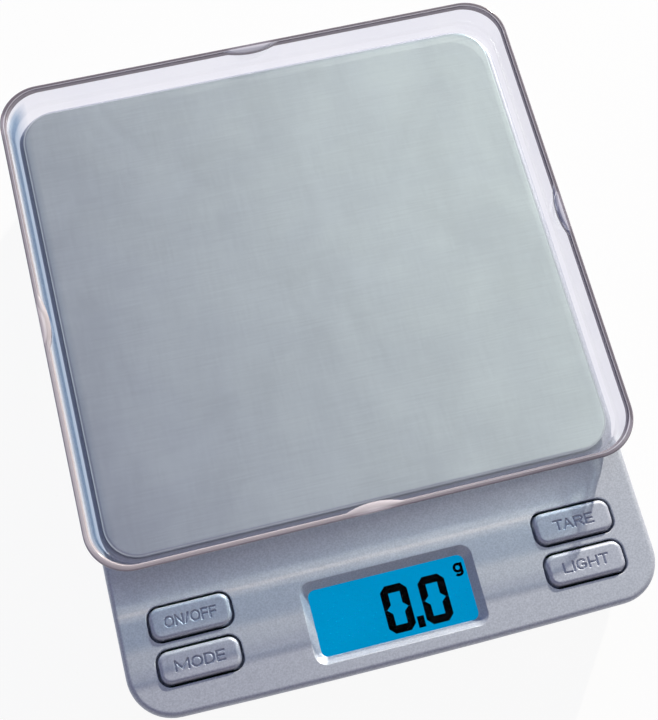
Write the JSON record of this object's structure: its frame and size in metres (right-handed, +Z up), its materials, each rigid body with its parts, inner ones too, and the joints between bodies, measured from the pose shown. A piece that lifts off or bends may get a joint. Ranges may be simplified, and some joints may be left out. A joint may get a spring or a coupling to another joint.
{
  "type": "digital gram scale",
  "caption": "Table-top digital gram scale with a clear tray on a steel plate, a lit display and rows of keys in front.",
  "frame": {"origin": "middle of the scale's footprint, on the table", "axes": "+Z up; +Y from the keys and display towards the tray's far side, the scale's length; +X to the right of the person reading the display"},
  "size_m": [0.1516, 0.1826, 0.0415],
  "materials": {
    "silver_plastic": "satin silver paint",
    "base_plastic": "fine textured silver grey",
    "key_plastic": "satin silver with pressed lettering",
    "plunger_plastic": "black",
    "steel_screw": "zinc plated",
    "foot_rubber": "dark soft rubber",
    "clear_window": "polished clear acrylic",
    "lcd": "blue lit display glass with black digits",
    "light_guide": "lit blue light guide",
    "frame_plastic": "white moulded",
    "zebra_rubber": "striped conductive rubber",
    "led": "clear blue",
    "circuit_board": "green solder mask",
    "chip": "black moulded",
    "header_plastic": "ivory nylon",
    "switch_metal": "stamped cover",
    "cell_can": "plain dark sleeve",
    "contact_metal": "nickel plated",
    "beam_aluminium": "machined",
    "gauge_film": "amber film",
    "bracket_aluminium": "sheet",
    "carrier_plastic": "moulded dark grey",
    "silicone": "soft grey silicone",
    "foam": "soft black foam",
    "plate_steel": "finely brushed stainless",
    "clear_plastic": "polished clear styrene",
    "wire_sheath": "coloured wires"
  },
  "bodies": {
    "housing": {"upper_housing": "silver_plastic", "lower_housing": "base_plastic", "housing_screws": "steel_screw", "rubber_feet": "foot_rubber", "display_lens": "clear_window", "lcd_glass": "lcd", "lcd_backlight": "light_guide", "lcd_frame": "frame_plastic", "elastomer_connectors": "zebra_rubber", "backlight_leds": "led", "main_board": "circuit_board", "board_screws": "steel_screw", "processor_chip": "chip", "amplifier_chip": "chip", "board_components": "chip", "wire_headers": "header_plastic", "tact_switches": "switch_metal", "battery_cells": "cell_can", "battery_springs": "contact_metal", "battery_contacts": "contact_metal", "load_cell": "beam_aluminium", "strain_gauges": "gauge_film", "gauge_terminal": "gauge_film", "load_cell_spacer": "beam_aluminium", "load_cell_screws": "steel_screw", "overload_stops": "steel_screw", "load_cell_wires": "wire_sheath", "battery_wires": "wire_sheath"},
    "platform": {"platform_plate": "plate_steel", "plate_pads": "silicone", "platform_carrier": "carrier_plastic", "carrier_screws": "steel_screw", "platform_bracket": "bracket_aluminium", "bracket_screws": "steel_screw", "bracket_spacer": "beam_aluminium"},
    "tray": {"clear_tray": "clear_plastic"},
    "on_off_key": {"on_off_key": "key_plastic", "on_off_plunger": "plunger_plastic"},
    "mode_key": {"mode_key": "key_plastic", "mode_plunger": "plunger_plastic"},
    "tare_key": {"tare_key": "key_plastic", "tare_plunger": "plunger_plastic"},
    "light_key": {"light_key": "key_plastic", "light_plunger": "plunger_plastic"},
    "battery_door": {"battery_door": "base_plastic", "battery_door_pad": "foam"}
  },
  "joints": [
    {"name": "platform_sink", "type": "slide", "parent": "housing", "child": "platform", "axis": [0, 0, -1], "range_m": [0, 0.0004], "stiffness_N_per_m": 30000, "springref_m": -0.00009, "deforming": ["load_cell"]},
    {"name": "tray_lift", "type": "slide", "parent": "platform", "child": "tray", "axis": [0, 0, 1], "range_m": [0, 0.06]},
    {"name": "on_off_press", "type": "slide", "parent": "housing", "child": "on_off_key", "axis": [0, 0, -1], "range_m": [0, 0.0006], "stiffness_N_per_m": 1500},
    {"name": "mode_press", "type": "slide", "parent": "housing", "child": "mode_key", "axis": [0, 0, -1], "range_m": [0, 0.0006], "stiffness_N_per_m": 1500},
    {"name": "tare_press", "type": "slide", "parent": "housing", "child": "tare_key", "axis": [0, 0, -1], "range_m": [0, 0.0006], "stiffness_N_per_m": 1500},
    {"name": "light_press", "type": "slide", "parent": "housing", "child": "light_key", "axis": [0, 0, -1], "range_m": [0, 0.0006], "stiffness_N_per_m": 1500},
    {"name": "battery_door_swing", "type": "hinge", "parent": "housing", "child": "battery_door", "pos_m": [0, -0.03125, 0.0037], "axis": [1, 0, 0], "range_deg": [0, 95]}
  ]
}
